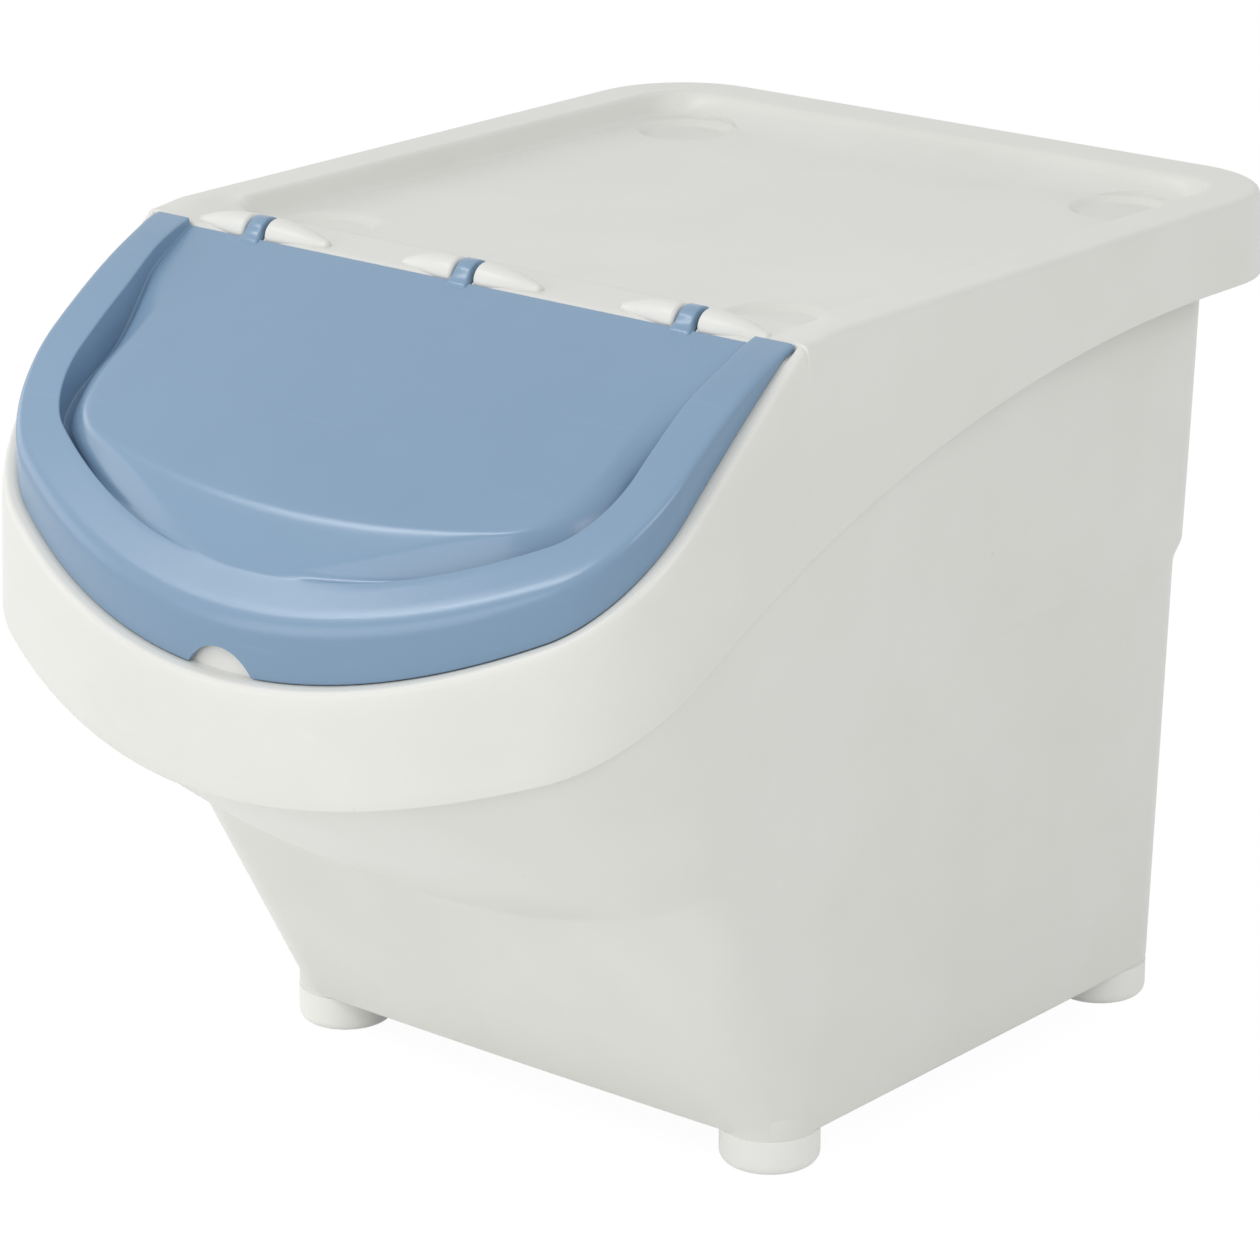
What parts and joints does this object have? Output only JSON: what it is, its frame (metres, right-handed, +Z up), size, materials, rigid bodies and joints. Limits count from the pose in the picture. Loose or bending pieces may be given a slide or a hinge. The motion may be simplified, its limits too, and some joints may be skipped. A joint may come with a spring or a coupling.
{
  "type": "rice bin with flip lid",
  "caption": "Stackable storage bin: scooped tub on round feet, drop-on hood with a tray top, hooked flip flap over the slanted front mouth.",
  "frame": {"origin": "on the floor, under the middle of the hood's outline (middle of the bounding box)", "axes": "+Z up, -Y towards the flap and lip, +X to the right of someone facing along +Y"},
  "size_m": [0.304, 0.423, 0.3177],
  "materials": {
    "white_shell": "moulded, satin",
    "white_foot": "moulded, satin",
    "white_pin": "moulded",
    "blue_flap": "moulded, glossy"
  },
  "bodies": {
    "tub": {"tub": "white_shell", "foot_front_left": "white_foot", "foot_front_right": "white_foot", "foot_back_left": "white_foot", "foot_back_right": "white_foot"},
    "hood": {"hood": "white_shell", "hinge_pin_left": "white_pin", "hinge_pin_centre": "white_pin", "hinge_pin_right": "white_pin"},
    "flap": {"flap": "blue_flap"}
  },
  "joints": [
    {"name": "hood_lift", "type": "slide", "parent": "tub", "child": "hood", "axis": [0, 0, 1], "range_m": [0, 0.2]},
    {"name": "flap_hinge", "type": "hinge", "parent": "hood", "child": "flap", "pos_m": [0, -0.0769, 0.3115], "axis": [-1, 0, 0], "range_deg": [0, 125]}
  ]
}
